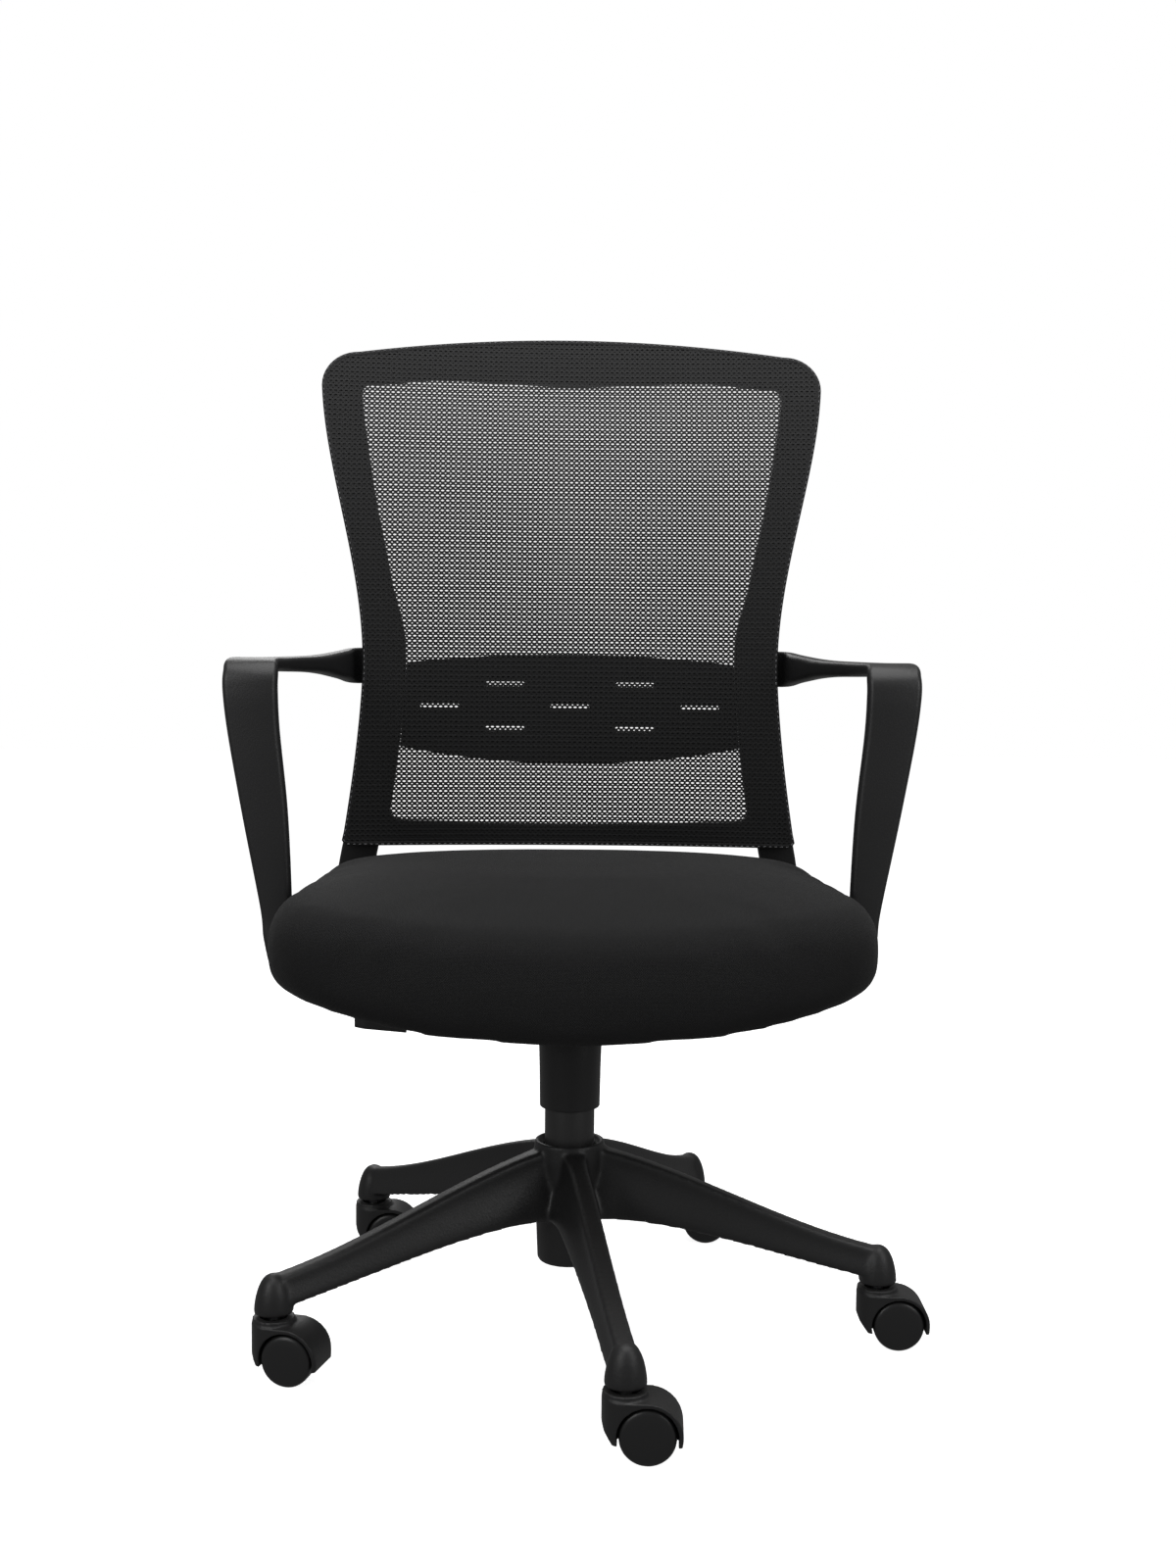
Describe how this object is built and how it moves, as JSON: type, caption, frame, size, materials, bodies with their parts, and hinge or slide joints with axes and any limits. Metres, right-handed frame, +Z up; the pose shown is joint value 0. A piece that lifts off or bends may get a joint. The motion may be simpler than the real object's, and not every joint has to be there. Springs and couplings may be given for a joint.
{
  "type": "swivel office chair",
  "caption": "Mid-back mesh office chair with a fabric seat, fixed loop arms, gas height lift, sprung tilt, swivel, and a five-star base on hooded twin-wheel casters.",
  "frame": {"origin": "On the floor under the middle of the chair, on the swivel axis of the column", "axes": "+Z up, the sitter faces -Y, +X is to the sitter's left"},
  "size_m": [0.6999, 0.6521, 1.0317],
  "materials": {
    "black_nylon": "fine spark-eroded matte",
    "guide_nylon": "smooth",
    "caster_tread": "smooth satin",
    "black_steel": "powder coat",
    "bright_steel": "zinc plated",
    "bearing_brass": "plain",
    "plywood": "raw",
    "seat_fabric": "fine woven upholstery",
    "mesh_fabric": "open knitted mesh"
  },
  "bodies": {
    "base": {"star_base": "black_nylon", "column_tube": "black_steel", "guide_bush": "guide_nylon", "bearing_washer": "bright_steel"},
    "spindle": {"piston_rod": "bright_steel", "thrust_bearing": "bearing_brass", "retaining_clip": "black_steel"},
    "lift_column": {"gas_cylinder": "black_steel", "column_cover": "black_nylon", "mechanism_housing": "black_steel", "tilt_pin": "bright_steel", "tilt_spring": "black_steel"},
    "valve": {"valve_pin": "bright_steel"},
    "lever": {"height_lever": "black_steel", "lever_paddle": "black_nylon"},
    "seat_and_back": {"top_plate": "black_steel", "seat_shell": "black_nylon", "seat_board": "plywood", "seat_cushion": "seat_fabric", "back_frame": "black_nylon", "lumbar_plate": "black_nylon", "back_mesh": "mesh_fabric", "arm_left": "black_nylon", "arm_right": "black_nylon", "plate_bolt_1": "bright_steel", "plate_bolt_2": "bright_steel", "plate_bolt_3": "bright_steel", "plate_bolt_4": "bright_steel", "arm_bolt_1": "bright_steel", "arm_bolt_2": "bright_steel", "arm_bolt_3": "bright_steel", "arm_bolt_4": "bright_steel", "back_bolt_1": "bright_steel", "back_bolt_2": "bright_steel"},
    "caster_1": {"caster_1_hood": "black_nylon", "caster_1_stem": "bright_steel", "caster_1_axle": "bright_steel"},
    "caster_1_wheel_a": {"caster_1_wheel_a": "caster_tread"},
    "caster_1_wheel_b": {"caster_1_wheel_b": "caster_tread"},
    "caster_2": {"caster_2_hood": "black_nylon", "caster_2_stem": "bright_steel", "caster_2_axle": "bright_steel"},
    "caster_2_wheel_a": {"caster_2_wheel_a": "caster_tread"},
    "caster_2_wheel_b": {"caster_2_wheel_b": "caster_tread"},
    "caster_3": {"caster_3_hood": "black_nylon", "caster_3_stem": "bright_steel", "caster_3_axle": "bright_steel"},
    "caster_3_wheel_a": {"caster_3_wheel_a": "caster_tread"},
    "caster_3_wheel_b": {"caster_3_wheel_b": "caster_tread"},
    "caster_4": {"caster_4_hood": "black_nylon", "caster_4_stem": "bright_steel", "caster_4_axle": "bright_steel"},
    "caster_4_wheel_a": {"caster_4_wheel_a": "caster_tread"},
    "caster_4_wheel_b": {"caster_4_wheel_b": "caster_tread"},
    "caster_5": {"caster_5_hood": "black_nylon", "caster_5_stem": "bright_steel", "caster_5_axle": "bright_steel"},
    "caster_5_wheel_a": {"caster_5_wheel_a": "caster_tread"},
    "caster_5_wheel_b": {"caster_5_wheel_b": "caster_tread"}
  },
  "joints": [
    {"name": "seat_swivel", "type": "hinge", "parent": "base", "child": "spindle", "pos_m": [0, 0, 0], "axis": [0, 0, 1], "continuous": true},
    {"name": "height_lift", "type": "slide", "parent": "spindle", "child": "lift_column", "axis": [0, 0, 1], "range_m": [-0.03, 0.07]},
    {"name": "tilt", "type": "hinge", "parent": "lift_column", "child": "seat_and_back", "pos_m": [0, -0.085, 0.3342], "axis": [-1, 0, 0], "range_deg": [0, 12], "stiffness_Nm_per_rad": 120, "springref_deg": -25.78},
    {"name": "lever_lift", "type": "hinge", "parent": "lift_column", "child": "lever", "pos_m": [-0.04175, 0, 0.3312], "axis": [0, 1, 0], "range_deg": [0, 4], "stiffness_Nm_per_rad": 2, "springref_deg": -20.05},
    {"name": "valve_press", "type": "slide", "parent": "lift_column", "child": "valve", "axis": [0, 0, -1], "range_m": [0, 0.003], "stiffness_N_per_m": 2, "springref_m": -0.02},
    {"name": "caster_1_swivel", "type": "hinge", "parent": "base", "child": "caster_1", "pos_m": [0.04421, -0.30683, 0], "axis": [0, 0, 1], "continuous": true},
    {"name": "caster_1_roll_a", "type": "hinge", "parent": "caster_1", "child": "caster_1_wheel_a", "pos_m": [0.06368, -0.30806, 0.025], "axis": [0.0628, 0.998, 0], "continuous": true},
    {"name": "caster_1_roll_b", "type": "hinge", "parent": "caster_1", "child": "caster_1_wheel_b", "pos_m": [0.06368, -0.30806, 0.025], "axis": [0.0628, 0.998, 0], "continuous": true},
    {"name": "caster_2_swivel", "type": "hinge", "parent": "base", "child": "caster_2", "pos_m": [0.30548, -0.05276, 0], "axis": [0, 0, 1], "continuous": true},
    {"name": "caster_2_roll_a", "type": "hinge", "parent": "caster_2", "child": "caster_2_wheel_a", "pos_m": [0.32497, -0.05331, 0.025], "axis": [0.0279, 0.9996, 0], "continuous": true},
    {"name": "caster_2_roll_b", "type": "hinge", "parent": "caster_2", "child": "caster_2_wheel_b", "pos_m": [0.32497, -0.05331, 0.025], "axis": [0.0279, 0.9996, 0], "continuous": true},
    {"name": "caster_3_swivel", "type": "hinge", "parent": "base", "child": "caster_3", "pos_m": [0.14458, 0.27422, 0], "axis": [0, 0, 1], "continuous": true},
    {"name": "caster_3_roll_a", "type": "hinge", "parent": "caster_3", "child": "caster_3_wheel_a", "pos_m": [0.16395, 0.27198, 0.025], "axis": [0.1149, 0.9934, 0], "continuous": true},
    {"name": "caster_3_roll_b", "type": "hinge", "parent": "caster_3", "child": "caster_3_wheel_b", "pos_m": [0.16395, 0.27198, 0.025], "axis": [0.1149, 0.9934, 0], "continuous": true},
    {"name": "caster_4_swivel", "type": "hinge", "parent": "base", "child": "caster_4", "pos_m": [-0.21612, 0.22224, 0], "axis": [0, 0, 1], "continuous": true},
    {"name": "caster_4_roll_a", "type": "hinge", "parent": "caster_4", "child": "caster_4_wheel_a", "pos_m": [-0.19662, 0.22224, 0.025], "axis": [0, 1, 0], "continuous": true},
    {"name": "caster_4_roll_b", "type": "hinge", "parent": "caster_4", "child": "caster_4_wheel_b", "pos_m": [-0.19662, 0.22224, 0.025], "axis": [0, 1, 0], "continuous": true},
    {"name": "caster_5_swivel", "type": "hinge", "parent": "base", "child": "caster_5", "pos_m": [-0.27815, -0.13687, 0], "axis": [0, 0, 1], "continuous": true},
    {"name": "caster_5_roll_a", "type": "hinge", "parent": "caster_5", "child": "caster_5_wheel_a", "pos_m": [-0.25937, -0.14211, 0.025], "axis": [0.2689, 0.9632, 0], "continuous": true},
    {"name": "caster_5_roll_b", "type": "hinge", "parent": "caster_5", "child": "caster_5_wheel_b", "pos_m": [-0.25937, -0.14211, 0.025], "axis": [0.2689, 0.9632, 0], "continuous": true}
  ],
  "couplings": [
    {"joint": "valve_press", "follows": "lever_lift", "m_per_rad": 0.0418}
  ]
}
